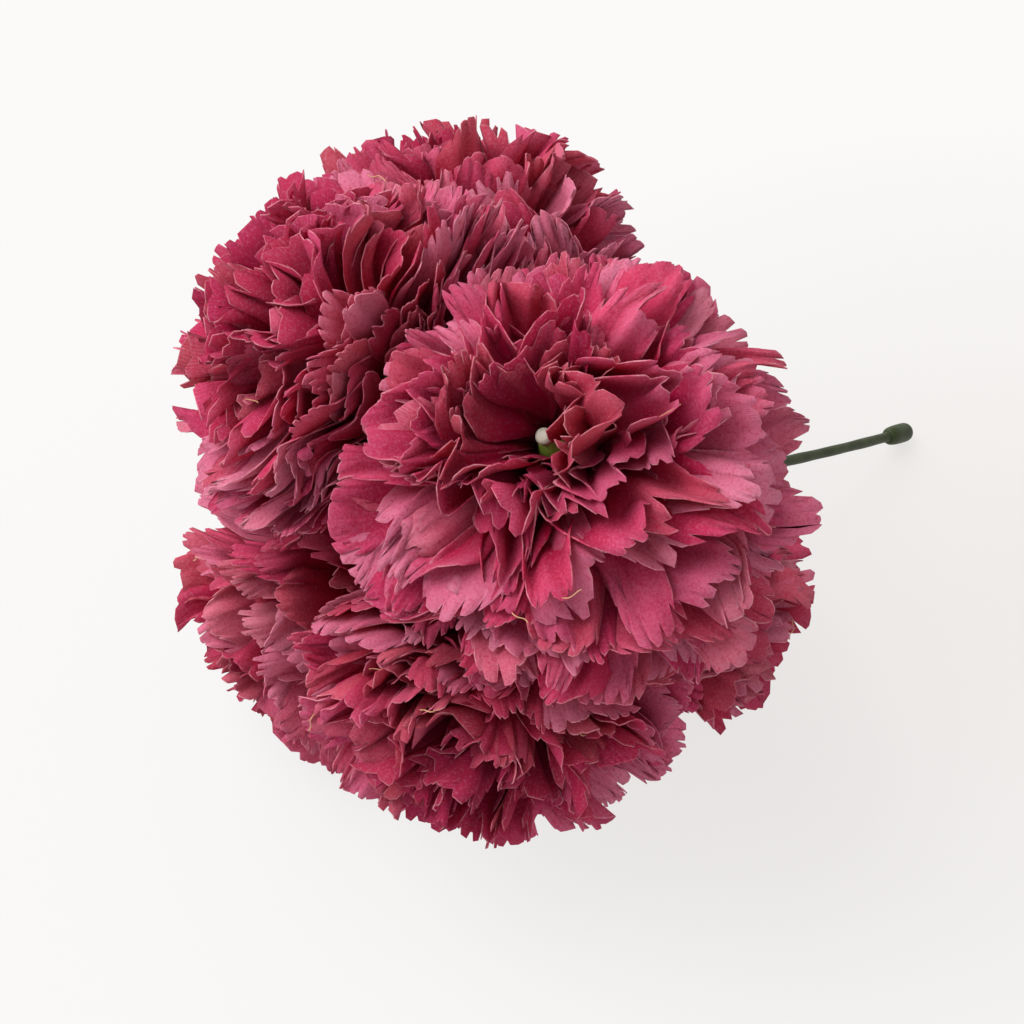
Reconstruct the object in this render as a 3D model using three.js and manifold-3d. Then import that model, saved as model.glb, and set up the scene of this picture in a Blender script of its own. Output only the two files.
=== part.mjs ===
// A lying bunch of seven fabric carnations on one plastic covered wire stem.
// Millimetres, +Z up, the surface is Z 0, the stem tip points to -X and the heads to +X.
import * as THREE from 'three';
import { mergeVertices } from 'three/addons/utils/BufferGeometryUtils.js';
import Module from 'manifold-3d';

const wasm = await Module();
wasm.setup();

// Sizes every piece follows.
const BLADE = 0.8;
const GAP = 0.3;
const TIDY = 0.02;
const PRESS = 1.2;
const CELL_MARGIN = 0.65;
const BASE_DEPTH = 12;
const LIMIT_POWER = 12;
const SQUEEZE_POWER = 3;
const FREE_FROM = 2;
const FREE_BY = 3;
const FILL = 0.8;

const PEG = { radius: 4.6, bottom: 0.5, height: 23.5 };
const STUD = { radius: 1.6, bottom: 24.3, height: 2.6 };
const CALYX = { topRadius: 6.4, bottomRadius: 3.2, length: 15 };
const WIRE_RADIUS = 1.2;
const BRANCH_RADIUS = 1.1;
const KNOT_RADIUS = 4.2;
const BUTT = { radius: 2.4, length: 10 };

const HUB = new THREE.Vector3(30.1, 6.5, 64.4);
const STEM_END = new THREE.Vector3(-94.6, -4.1, 2.2);
const STEM_LEAD = new THREE.Vector3(-26.3, 8.3, 38);

// Each head is a ball of petals: its centre, the way it faces and its radius.
const HEADS = [
  { name: 'front', centre: [52.8, 33.1, 106.8], facing: [0.492, 0.165, 0.855], radius: 41.6 },
  { name: 'upper', centre: [57.6, -15.4, 100.4], facing: [0.55, -0.5, 0.67], radius: 38.2 },
  { name: 'top', centre: [18, -35.8, 80.8], facing: [-0.2, -0.75, 0.6], radius: 38.5 },
  { name: 'left', centre: [56.5, -21.7, 34.3], facing: [0.7, -0.5, -0.5], radius: 39.1 },
  { name: 'low', centre: [58.4, 25.7, 57.3], facing: [0.8, 0.56, -0.2], radius: 38.4 },
  { name: 'back', centre: [9.6, -39.9, 31.6], facing: [-0.34, -0.76, -0.55], radius: 39 },
  { name: 'under', centre: [17, 9.7, 34.4], facing: [-0.41, 0.13, -0.9], radius: 37.8 },
];

// Rings of petals from the middle outwards. Each opens by so many degrees from the way the
// head faces and leaves the peg at its own height.
const RINGS = [
  { count: 3, opening: 16, halfWidth: 11, height: 20.5 },
  { count: 4, opening: 38, halfWidth: 16, height: 16 },
  { count: 4, opening: 61, halfWidth: 20, height: 11.5 },
  { count: 5, opening: 84, halfWidth: 20, height: 7 },
  { count: 4, opening: 108, halfWidth: 22, height: 3 },
];
const PETAL_START = 3.4;
const KNEE = 0.5;
const LEAN = 0.88;
const WRAP = 0.55;
const RUFFLE = 1.9;
const ROW_FRACTIONS = [0, 0.36, 0.7, 1];
const NOTCH = 0.06;

const MATERIALS = {
  petal: { color: 0x8f2f49, roughness: 0.82, metalness: 0 },
  calyx: { color: 0x4f6a3c, roughness: 0.55, metalness: 0 },
  stud: { color: 0xd9dccb, roughness: 0.5, metalness: 0 },
  stem: { color: 0x33402c, roughness: 0.5, metalness: 0 },
};

// A repeatable draw between 0 and 1 for a petal and a purpose.
function spread(index, purpose) {
  const value = Math.sin(index * 12.9898 + purpose * 78.233) * 43758.5453;
  return value - Math.floor(value);
}

function between(index, purpose, low, high) {
  return low + (high - low) * spread(index, purpose);
}

function smooth(value, low, high) {
  const t = Math.min(1, Math.max(0, (value - low) / (high - low)));
  return t * t * (3 - 2 * t);
}

// The frame of a head: where its petals start, its axis and two directions across it.
function headFrame(head) {
  const centre = new THREE.Vector3(...head.centre);
  const axis = new THREE.Vector3(...head.facing).normalize();
  const base = centre.clone().addScaledVector(axis, -BASE_DEPTH);
  const across = new THREE.Vector3(0, 0, 1).cross(axis).normalize();
  const along = axis.clone().cross(across);
  return { centre, axis, base, across, along, radius: head.radius };
}

// The flat limits a head keeps inside: one towards each neighbour, the surface and the stem.
function headLimits(frames, index) {
  const frame = frames[index];
  const limits = [];
  frames.forEach((other, otherIndex) => {
    if (otherIndex === index) {
      return;
    }
    const normal = other.centre.clone().sub(frame.centre);
    const distance = normal.length();
    normal.divideScalar(distance);
    const squares = frame.radius * frame.radius - other.radius * other.radius;
    const share = distance / 2 + squares / (2 * distance);
    const toBase = frame.base.clone().sub(frame.centre).dot(normal);
    limits.push({ normal, distance: share - toBase - CELL_MARGIN });
  });
  const down = new THREE.Vector3(0, 0, -1);
  limits.push({ normal: down, distance: frame.base.z - BLADE / 2 + PRESS });
  const stemWay = STEM_END.clone().sub(HUB).normalize();
  const fromHub = frame.base.clone().sub(HUB);
  const alongStem = fromHub.dot(stemWay);
  if (alongStem > -0.6 * frame.radius) {
    const sideways = stemWay.clone().multiplyScalar(alongStem).sub(fromHub);
    const room = sideways.length() - WIRE_RADIUS - CELL_MARGIN - 1;
    limits.push({ normal: sideways.normalize(), distance: room });
  }
  return limits;
}

// A rounded minimum that is never above the least of the values.
function softLeast(values, power) {
  const total = values.reduce((sum, value) => sum + Math.pow(Math.max(value, 0.02), -power), 0);
  return Math.pow(total, -1 / power);
}

// The widest opening allowed by one limit at a distance from the base.
function limitOpening(limit, frame, turn, distance) {
  const ahead = limit.normal.dot(frame.axis);
  const sideways = limit.normal.dot(frame.across) * Math.cos(turn)
    + limit.normal.dot(frame.along) * Math.sin(turn);
  const size = Math.hypot(ahead, sideways);
  const reach = limit.distance / Math.max(distance * size, 1e-6);
  let lean = Math.atan2(sideways, ahead);
  if (lean < 0) {
    lean += 2 * Math.PI;
  }
  return reach < 1 ? lean - Math.acos(Math.max(reach, -1)) : lean + 2.5 * (reach - 1);
}

// How far from its start a petal reaches when it opens by an angle.
function tipDistance(radius, opening) {
  const outwards = BASE_DEPTH * Math.sin(opening);
  return BASE_DEPTH * Math.cos(opening) + Math.sqrt(radius * radius - outwards * outwards);
}

// The opening left at a distance from the base once the limits have squeezed it.
function squeezed(opening, frame, limits, turn, distance) {
  const allowed = limits.map((limit) => limitOpening(limit, frame, turn, distance));
  const nearest = softLeast(allowed, LIMIT_POWER);
  const eased = nearest * (1 + 3 * smooth(nearest, FREE_FROM, FREE_BY));
  return softLeast([opening, eased], SQUEEZE_POWER);
}

// Turns a free petal point into place, squeezed towards the axis where there is a limit, and
// farther out by so much that the squeezed petals still fill the ball.
function settle(point, frame, limits) {
  const free = point.length();
  const opening = Math.acos(Math.min(1, Math.max(-1, point.z / Math.max(free, 1e-6))));
  const turn = Math.atan2(point.y, point.x);
  const tip = tipDistance(frame.radius, opening);
  const pressed = squeezed(opening, frame, limits, turn, tip);
  const distance = free * Math.pow(tipDistance(frame.radius, pressed) / tip, FILL);
  const settled = squeezed(opening, frame, limits, turn, distance);
  const outwards = distance * Math.sin(settled);
  return frame.base.clone()
    .addScaledVector(frame.axis, distance * Math.cos(settled))
    .addScaledVector(frame.across, outwards * Math.cos(turn))
    .addScaledVector(frame.along, outwards * Math.sin(turn));
}

// One petal of a head, with its own turn, opening, width and waves.
function petalShape(headIndex, ringIndex, place, frame) {
  const ring = RINGS[ringIndex];
  const seed = headIndex * 97 + ringIndex * 13 + place + 1;
  const step = 2 * Math.PI / ring.count;
  const opening = ring.opening + between(seed, 1, -5, 5);
  return {
    seed,
    turn: step * (place + between(seed, 2, -0.16, 0.16)) + ringIndex * 0.9 + headIndex * 1.7,
    opening: THREE.MathUtils.degToRad(opening),
    reach: frame.radius * between(seed, 3, 0.95, 1.05),
    halfWidth: ring.halfWidth * between(seed, 4, 0.92, 1.08),
    height: ring.height,
    tilt: between(seed, 5, 1, 3),
    ruffle: RUFFLE * between(seed, 6, 0.7, 1.3),
    waves: between(seed, 7, 1.05, 1.45),
    phase: between(seed, 8, 0, 2 * Math.PI),
    cup: between(seed, 9, 0.5, 3.2),
  };
}

// A point of the middle surface of a petal, before it is settled among its neighbours.
function petalPoint(petal, along, across) {
  const bend = petal.opening;
  const length = tipDistance(petal.reach, bend);
  const start = new THREE.Vector2(PETAL_START, petal.height);
  const knee = new THREE.Vector2(Math.sin(LEAN * bend), Math.cos(LEAN * bend))
    .multiplyScalar(KNEE * length);
  const tip = new THREE.Vector2(length * Math.sin(bend), length * Math.cos(bend));
  const rest = 1 - along;
  const spine = start.clone().multiplyScalar(rest * rest)
    .addScaledVector(knee, 2 * rest * along)
    .addScaledVector(tip, along * along);
  const way = knee.clone().sub(start).multiplyScalar(rest)
    .addScaledVector(tip.clone().sub(knee), along)
    .normalize();
  const width = petal.halfWidth * (0.1 + 0.9 * smooth(along, 0.18, 0.88));
  const sideways = width * across;
  const wave = petal.ruffle * along ** 2
    * Math.sin(petal.waves * Math.PI * across + petal.phase);
  const lift = petal.tilt * across * along + petal.cup * across * across * along + wave;
  const outwards = Math.max(spine.x - way.y * lift, 1.2);
  const height = spine.y + way.x * lift;
  const wrapped = petal.turn + WRAP * sideways / (spine.x + 5);
  const flat = (1 - WRAP) * sideways;
  return new THREE.Vector3(
    outwards * Math.cos(wrapped) - flat * Math.sin(wrapped),
    outwards * Math.sin(wrapped) + flat * Math.cos(wrapped),
    height,
  );
}

// How far along the petal a row of points lies: rounded corners, and notches at the rim.
function rimFraction(row, column, columns, petal) {
  const across = 2 * column / (columns - 1) - 1;
  const rounded = ROW_FRACTIONS[row] * (1 - 0.12 * across * across);
  const isRim = row === ROW_FRACTIONS.length - 1;
  const isNotch = column % 2 === 0;
  const depth = NOTCH * between(petal.seed + column, 10, 0.6, 1.3);
  return isRim && isNotch ? rounded - depth : rounded;
}

// The rows of a petal: each row has twice as many steps across as the one before.
function petalRows(petal, frame, limits) {
  return ROW_FRACTIONS.map((fraction, row) => {
    const columns = 2 ** row + 1;
    return Array.from({ length: columns }, (unused, column) => {
      const across = 2 * column / (columns - 1) - 1;
      const along = rimFraction(row, column, columns, petal);
      return settle(petalPoint(petal, along, across), frame, limits);
    });
  });
}

// A closed blade round a middle surface, both faces split alike.
function petalSolid(rows) {
  const points = rows.flat();
  const first = rows.map((row, index) => rows.slice(0, index).flat().length);
  const faces = [];
  for (let row = 0; row + 1 < rows.length; row += 1) {
    for (let column = 0; column + 1 < rows[row].length; column += 1) {
      const a = first[row] + column;
      const c = first[row + 1] + 2 * column;
      faces.push([a, a + 1, c + 1], [a, c + 1, c], [a + 1, c + 2, c + 1]);
    }
  }
  const normals = points.map(() => new THREE.Vector3());
  for (const [a, b, c] of faces) {
    const one = points[b].clone().sub(points[a]);
    const two = points[c].clone().sub(points[a]);
    const normal = one.cross(two);
    [a, b, c].forEach((corner) => normals[corner].add(normal));
  }
  const count = points.length;
  const positions = [];
  for (const side of [1, -1]) {
    points.forEach((point, index) => {
      const normal = normals[index].clone().normalize();
      positions.push(...point.clone().addScaledVector(normal, side * BLADE / 2).toArray());
    });
  }
  const triangles = [];
  for (const [a, b, c] of faces) {
    triangles.push(a, b, c, a + count, c + count, b + count);
  }
  const lastRow = rows.length - 1;
  const border = [0, 1];
  for (let row = 1; row < lastRow; row += 1) {
    border.push(first[row] + rows[row].length - 1);
  }
  for (let column = rows[lastRow].length - 1; column >= 0; column -= 1) {
    border.push(first[lastRow] + column);
  }
  for (let row = lastRow - 1; row > 0; row -= 1) {
    border.push(first[row]);
  }
  border.forEach((from, index) => {
    const to = border[(index + 1) % border.length];
    triangles.push(to, from, from + count, to, from + count, to + count);
  });
  return solid(positions, triangles);
}

function solid(positions, triangles) {
  return new wasm.Manifold(new wasm.Mesh({
    numProp: 3,
    vertProperties: new Float32Array(positions),
    triVerts: new Uint32Array(triangles),
  }));
}

// A solid from a closed three.js shape.
function solidFrom(geometry) {
  const bare = new THREE.BufferGeometry();
  bare.setAttribute('position', geometry.getAttribute('position'));
  bare.setIndex(geometry.getIndex());
  const merged = mergeVertices(bare, 1e-4);
  const triangles = [];
  const index = merged.getIndex().array;
  for (let start = 0; start < index.length; start += 3) {
    const [a, b, c] = index.slice(start, start + 3);
    if (a !== b && b !== c && c !== a) {
      triangles.push(a, b, c);
    }
  }
  return solid(merged.getAttribute('position').array, triangles);
}

// One solid from many that cross, flat where it presses on the surface, with the small
// pockets closed in between its pieces filled.
function joined(pieces) {
  const pressed = wasm.Manifold.union(pieces).trimByPlane([0, 0, 1], 0);
  const shells = pressed.simplify(TIDY).decompose();
  return shells.reduce((most, shell) => (shell.volume() > most.volume() ? shell : most));
}

function meshFrom(manifold, name, look) {
  const { vertProperties, triVerts } = manifold.getMesh();
  const geometry = new THREE.BufferGeometry();
  geometry.setAttribute('position', new THREE.BufferAttribute(vertProperties, 3));
  geometry.setIndex(new THREE.BufferAttribute(triVerts, 1));
  geometry.computeVertexNormals();
  const mesh = new THREE.Mesh(geometry, new THREE.MeshStandardMaterial(look));
  mesh.name = name;
  return mesh;
}

// A turned shape standing on a head's axis, its profile given as radius and height pairs.
function turned(profile, frame, segments) {
  const points = profile.map(([radius, height]) => new THREE.Vector2(radius, height));
  const geometry = new THREE.LatheGeometry(points, segments);
  const toFacing = new THREE.Quaternion()
    .setFromUnitVectors(new THREE.Vector3(0, 1, 0), frame.axis);
  geometry.applyQuaternion(toFacing);
  geometry.translate(frame.base.x, frame.base.y, frame.base.z);
  return geometry;
}

// The peg the rings of petals are joined to.
function pegSolid(frame) {
  const profile = [
    [0, PEG.bottom],
    [PEG.radius, PEG.bottom],
    [PEG.radius, PEG.bottom + PEG.height * 0.85],
    [PEG.radius * 0.6, PEG.bottom + PEG.height],
    [0, PEG.bottom + PEG.height],
  ];
  return solidFrom(turned(profile, frame, 10));
}

// All the petals of one head joined to the peg in its middle.
function bloomMesh(head, headIndex, frames) {
  const frame = frames[headIndex];
  const limits = headLimits(frames, headIndex);
  const pieces = [pegSolid(frame)];
  RINGS.forEach((ring, ringIndex) => {
    for (let place = 0; place < ring.count; place += 1) {
      const petal = petalShape(headIndex, ringIndex, place, frame);
      pieces.push(petalSolid(petalRows(petal, frame, limits)));
    }
  });
  return meshFrom(joined(pieces), `bloom_${head.name}`, MATERIALS.petal);
}

// The plastic cup under a head.
function calyxMesh(head, frame) {
  const top = PEG.bottom - GAP;
  const profile = [
    [0, top - CALYX.length],
    [CALYX.bottomRadius, top - CALYX.length],
    [CALYX.bottomRadius + 1.2, top - CALYX.length * 0.75],
    [CALYX.topRadius - 0.9, top - CALYX.length * 0.3],
    [CALYX.topRadius, top],
    [0, top],
  ];
  return meshFrom(solidFrom(turned(profile, frame, 10)), `calyx_${head.name}`, MATERIALS.calyx);
}

// The small plastic stud seen down in the hollow of a head.
function studMesh(head, frame) {
  const profile = [
    [0, STUD.bottom],
    [STUD.radius * 0.8, STUD.bottom],
    [STUD.radius, STUD.bottom + STUD.height * 0.55],
    [STUD.radius * 0.6, STUD.bottom + STUD.height * 0.9],
    [0, STUD.bottom + STUD.height],
  ];
  return meshFrom(solidFrom(turned(profile, frame, 8)), `stud_${head.name}`, MATERIALS.stud);
}

// A round wire along a curve.
function wireSolid(curve, radius, steps, sides) {
  const section = new THREE.Shape();
  section.absarc(0, 0, radius, 0, 2 * Math.PI, false);
  const geometry = new THREE.ExtrudeGeometry(section, {
    steps,
    bevelEnabled: false,
    extrudePath: curve,
    curveSegments: sides / 2,
  });
  return solidFrom(geometry);
}

// The covered wire with its thicker end, a branch to every head and the knot they leave from.
function stemMesh(frames) {
  const main = new THREE.QuadraticBezierCurve3(HUB, STEM_LEAD, STEM_END);
  const pieces = [wireSolid(main, WIRE_RADIUS, 8, 8)];
  const endWay = main.getTangent(1);
  const buttStart = STEM_END.clone().addScaledVector(endWay, -BUTT.length);
  pieces.push(wireSolid(new THREE.LineCurve3(buttStart, STEM_END), BUTT.radius, 1, 12));
  const knot = new THREE.SphereGeometry(KNOT_RADIUS, 8, 6);
  knot.translate(HUB.x, HUB.y, HUB.z);
  pieces.push(solidFrom(knot));
  const cupDepth = PEG.bottom - GAP - CALYX.length - GAP;
  frames.forEach((frame) => {
    const end = frame.base.clone().addScaledVector(frame.axis, cupDepth);
    const lead = end.clone().addScaledVector(frame.axis, -end.distanceTo(HUB) / 2);
    pieces.push(wireSolid(new THREE.QuadraticBezierCurve3(HUB, lead, end), BRANCH_RADIUS, 4, 6));
  });
  return meshFrom(joined(pieces), 'wire_stem', MATERIALS.stem);
}

function buildBunch() {
  const bunch = new THREE.Group();
  bunch.name = 'carnation_bunch';
  const frames = HEADS.map(headFrame);
  HEADS.forEach((head, index) => {
    bunch.add(bloomMesh(head, index, frames));
    bunch.add(calyxMesh(head, frames[index]));
    bunch.add(studMesh(head, frames[index]));
  });
  bunch.add(stemMesh(frames));
  return bunch;
}

export default buildBunch();
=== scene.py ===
"""A lying bunch of fabric carnations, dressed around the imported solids.

Lengths in the constants are millimetres and every mesh is made in metres. The heads, the limits
between them and the wire follow the same named values as the part's solids. The petals are more
and finer than the solids' blades, and stand in a spiral.
"""

import logging
import math
from dataclasses import dataclass, field
from enum import Enum, IntEnum
from typing import Any, Union

import bpy
import numpy as np
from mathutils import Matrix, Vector


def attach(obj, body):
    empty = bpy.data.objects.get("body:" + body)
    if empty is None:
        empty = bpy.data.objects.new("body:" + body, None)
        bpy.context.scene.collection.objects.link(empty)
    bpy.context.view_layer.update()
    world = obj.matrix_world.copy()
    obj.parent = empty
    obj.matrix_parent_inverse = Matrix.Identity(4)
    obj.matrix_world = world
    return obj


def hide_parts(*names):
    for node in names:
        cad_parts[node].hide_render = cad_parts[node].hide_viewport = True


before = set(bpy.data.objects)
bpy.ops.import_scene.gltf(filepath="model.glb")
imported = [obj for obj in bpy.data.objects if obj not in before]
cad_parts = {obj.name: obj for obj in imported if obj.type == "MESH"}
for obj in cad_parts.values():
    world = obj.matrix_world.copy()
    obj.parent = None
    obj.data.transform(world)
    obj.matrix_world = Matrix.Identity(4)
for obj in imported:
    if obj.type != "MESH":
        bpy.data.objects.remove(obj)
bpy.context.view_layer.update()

logging.basicConfig(level=logging.INFO, format="%(message)s")
LOG = logging.getLogger("carnations")

MM = 0.001
BODY = "root"

# How petals stand round a base and yield to a neighbour, the surface or the wire. Openings are
# angles in radians from the way a head faces. FILL lengthens a squeezed petal, TUCK shortens one
# that is squeezed hard, and STRAY is how many radii a petal reaches before it is held back.
BASE_DEPTH = 12.0
CELL_MARGIN = 0.5
LIMIT_POWER = 12
SQUEEZE_POWER = 3
FREE_FROM_BY = (2.0, 3.0)
FREE_GAIN = 3
FILL = 0.8
STRAY, STRAY_HELD = 1.055, 0.6
TUCK = 0.42
TUCK_FROM_BY = (0.3, 0.85)
CRUMPLE, CRUMPLE_WAVES = 0.05, 10
CRUMPLE_FROM_BY = (16.0, 40.0)
PRESS = 0.6
FLOOR_EASE, FLOOR_GAP = 0.6, 0.15
WRAP = 0.55
PETAL_START = 3.4
KNEE = 0.5

# The hard pieces, laid out as the solids are.
WIRE_RADIUS = 1.2
BRANCH_RADIUS = 1.1
KNOT_RADIUS = 4.2
HUB = (30.1, 6.5, 64.4)
STEM_END = (-94.6, -4.1, 2.2)
STEM_LEAD = (-26.3, 8.3, 38.0)
PEG_BOTTOM, PEG_HEIGHT, PEG_RADIUS = 0.5, 23.5, 4.6
CUP_LENGTH = 15.0
GAP = 0.3

Array = np.ndarray
Material = bpy.types.Material
Number = Union["Wire", float]
Colour = tuple[float, float, float, float]
Place = tuple[float, float, float]
Span = tuple[float, float]


class Slot(Enum):
    """The record's material slots."""

    PETAL = "petal"
    CALYX = "calyx"
    STUD = "stud"
    STEM = "stem"


class Look(IntEnum):
    """The place of each material in a head's list."""

    CLOTH = 0
    PEG = 1
    THREAD = 2


class Draw(Enum):
    """What a repeatable draw is for: its number, and the ends of its span."""

    BEND = (1, -8.0, 8.0)
    TURN = (2, -0.16, 0.16)
    REACH = (3, 0.88, 1.06)
    WIDTH = (4, 0.84, 1.2)
    SKEW = (5, -4.5, 5.5)
    RUFFLE = (6, 0.55, 1.35)
    WAVES = (7, 0.8, 1.4)
    PHASE = (8, 0.0, 2 * math.pi)
    CUPPED = (9, 0.0, 1.0)
    TEETH = (11, 0.0, 1.0)
    NOTCH = (12, 0.0, 1.0)
    TOOTH = (13, -0.022, 0.01)
    FINE_WAVES = (14, 1.9, 3.0)
    RIM_WAVES = (15, 3.0, 4.2)
    CURL = (16, -24.0, 24.0)
    LEAN = (18, 0.72, 0.98)
    TWIST = (19, -0.32, 0.32)
    TONE = (21, 0.0, 1.0)
    TINT = (22, 0.0, 1.0)
    FRAYED = (25, 0.0, 1.0)
    THREAD_PLACE = (26, 0.0, 1.0)
    THREAD_REACH = (27, 3.0, 6.0)
    THREAD_BOW = (28, -2.0, 2.0)
    CRUMPLE_WAY = (30, -1.0, 1.0)
    CRUMPLE_PUSH = (40, -1.0, 1.0)
    CRUMPLE_LENGTH = (50, 12.0, 30.0)
    CRUMPLE_PHASE = (51, 0.0, 6.3)

    def of(self, seed: Any, step: Any = 0) -> Any:
        """The draw for each number.

        Args:
            seed: A number or an array of numbers.
            step: Added to the draw's own number, for several draws of one kind.

        Returns:
            A value or an array of values within the span.
        """
        number, low, high = self.value
        value = np.sin(np.asarray(seed) * 12.9898 + (number + step) * 78.233) * 43758.5453
        return low + (high - low) * (value - np.floor(value))


def from_srgb(*levels: int) -> Colour:
    """Turns a screen colour into the linear colour a shader takes.

    Args:
        levels: Red, green and blue from 0 to 255.

    Returns:
        The linear colour with full alpha.
    """
    parts = [level / 255 for level in levels]
    linear = [part / 12.92 if part <= 0.04045 else ((part + 0.055) / 1.055) ** 2.4
              for part in parts]
    return (*linear, 1.0)


class Wire:
    """A number carried by a shader socket. Arithmetic on it adds Math nodes."""

    def __init__(self, graph: "Graph", socket: bpy.types.NodeSocket) -> None:
        """Keeps the socket and the graph it belongs to."""
        self.graph = graph
        self.socket = socket

    def _math(self, kind: str, first: Number, second: Number, clamp: bool = False) -> "Wire":
        """Adds a Math node for one operation on two numbers."""
        settings = {"operation": kind, "use_clamp": clamp}
        return self.graph.node("ShaderNodeMath", settings, {0: first, 1: second})

    def __add__(self, other: Number) -> "Wire":
        """This number plus another."""
        return self._math("ADD", self, other)

    def __sub__(self, other: Number) -> "Wire":
        """This number less another."""
        return self._math("SUBTRACT", self, other)

    def __rsub__(self, other: Number) -> "Wire":
        """Another number less this one."""
        return self._math("SUBTRACT", other, self)

    def __mul__(self, other: Number) -> "Wire":
        """This number times another."""
        return self._math("MULTIPLY", self, other)

    def __truediv__(self, other: Number) -> "Wire":
        """This number divided by another."""
        return self._math("DIVIDE", self, other)

    __radd__ = __add__
    __rmul__ = __mul__

    def held(self) -> "Wire":
        """This number held between 0 and 1."""
        return self._math("ADD", self, 0.0, True)


class Graph:
    """The node tree of one material, which knows the place on the object in metres."""

    def __init__(self, name: str) -> None:
        """Starts an empty material.

        Args:
            name: The material's name.
        """
        self.material = bpy.data.materials.new(name)
        self.material.use_nodes = True
        self.tree = self.material.node_tree
        self.tree.nodes.clear()
        self.where = self.node("ShaderNodeTexCoord", {}, {}, "Object")

    def node(self, kind: str, settings: dict[str, Any], inputs: dict[Any, Any],
             output: Union[int, str] = 0) -> Wire:
        """Adds one node.

        Args:
            kind: The node's type.
            settings: Its properties, set before its sockets.
            inputs: Its sockets' values or links, by name or number.
            output: The socket handed back.

        Returns:
            The chosen output.
        """
        made = self.tree.nodes.new(kind)
        for key, value in settings.items():
            setattr(made, key, value)
        for key, value in inputs.items():
            if isinstance(value, Wire):
                self.tree.links.new(value.socket, made.inputs[key])
            else:
                made.inputs[key].default_value = value
        return Wire(self, made.outputs[output])

    def blend(self, factor: Number, first: Any, second: Any) -> Wire:
        """Mixes two colours.

        Args:
            factor: 0 for the first colour, 1 for the second.
            first: A colour or a link.
            second: A colour or a link.

        Returns:
            The mixed colour.
        """
        settings = {"data_type": "RGBA"}
        return self.node("ShaderNodeMix", settings, {0: factor, 6: first, 7: second}, 2)

    def attribute(self, name: str) -> Wire:
        """Reads a number stored on the mesh."""
        return self.node("ShaderNodeAttribute", {"attribute_name": name}, {}, "Fac")

    def noise(self, scale: float, detail: float, where: Union[Wire, None] = None) -> Wire:
        """Adds a noise texture, its scale in features a metre or a unit of where."""
        inputs = {"Vector": where or self.where, "Scale": scale, "Detail": detail}
        return self.node("ShaderNodeTexNoise", {}, inputs)

    def bump(self, height: Wire, distance: float, strength: float) -> Wire:
        """Turns a height into a normal, its distance in metres."""
        inputs = {"Height": height, "Distance": distance, "Strength": strength}
        return self.node("ShaderNodeBump", {}, inputs)

    def finish(self, shader: Wire) -> Material:
        """Puts the shader on the surface.

        Args:
            shader: The surface's shader.

        Returns:
            The material.
        """
        output = self.tree.nodes.new("ShaderNodeOutputMaterial")
        self.tree.links.new(shader.socket, output.inputs["Surface"])
        return self.material


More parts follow.
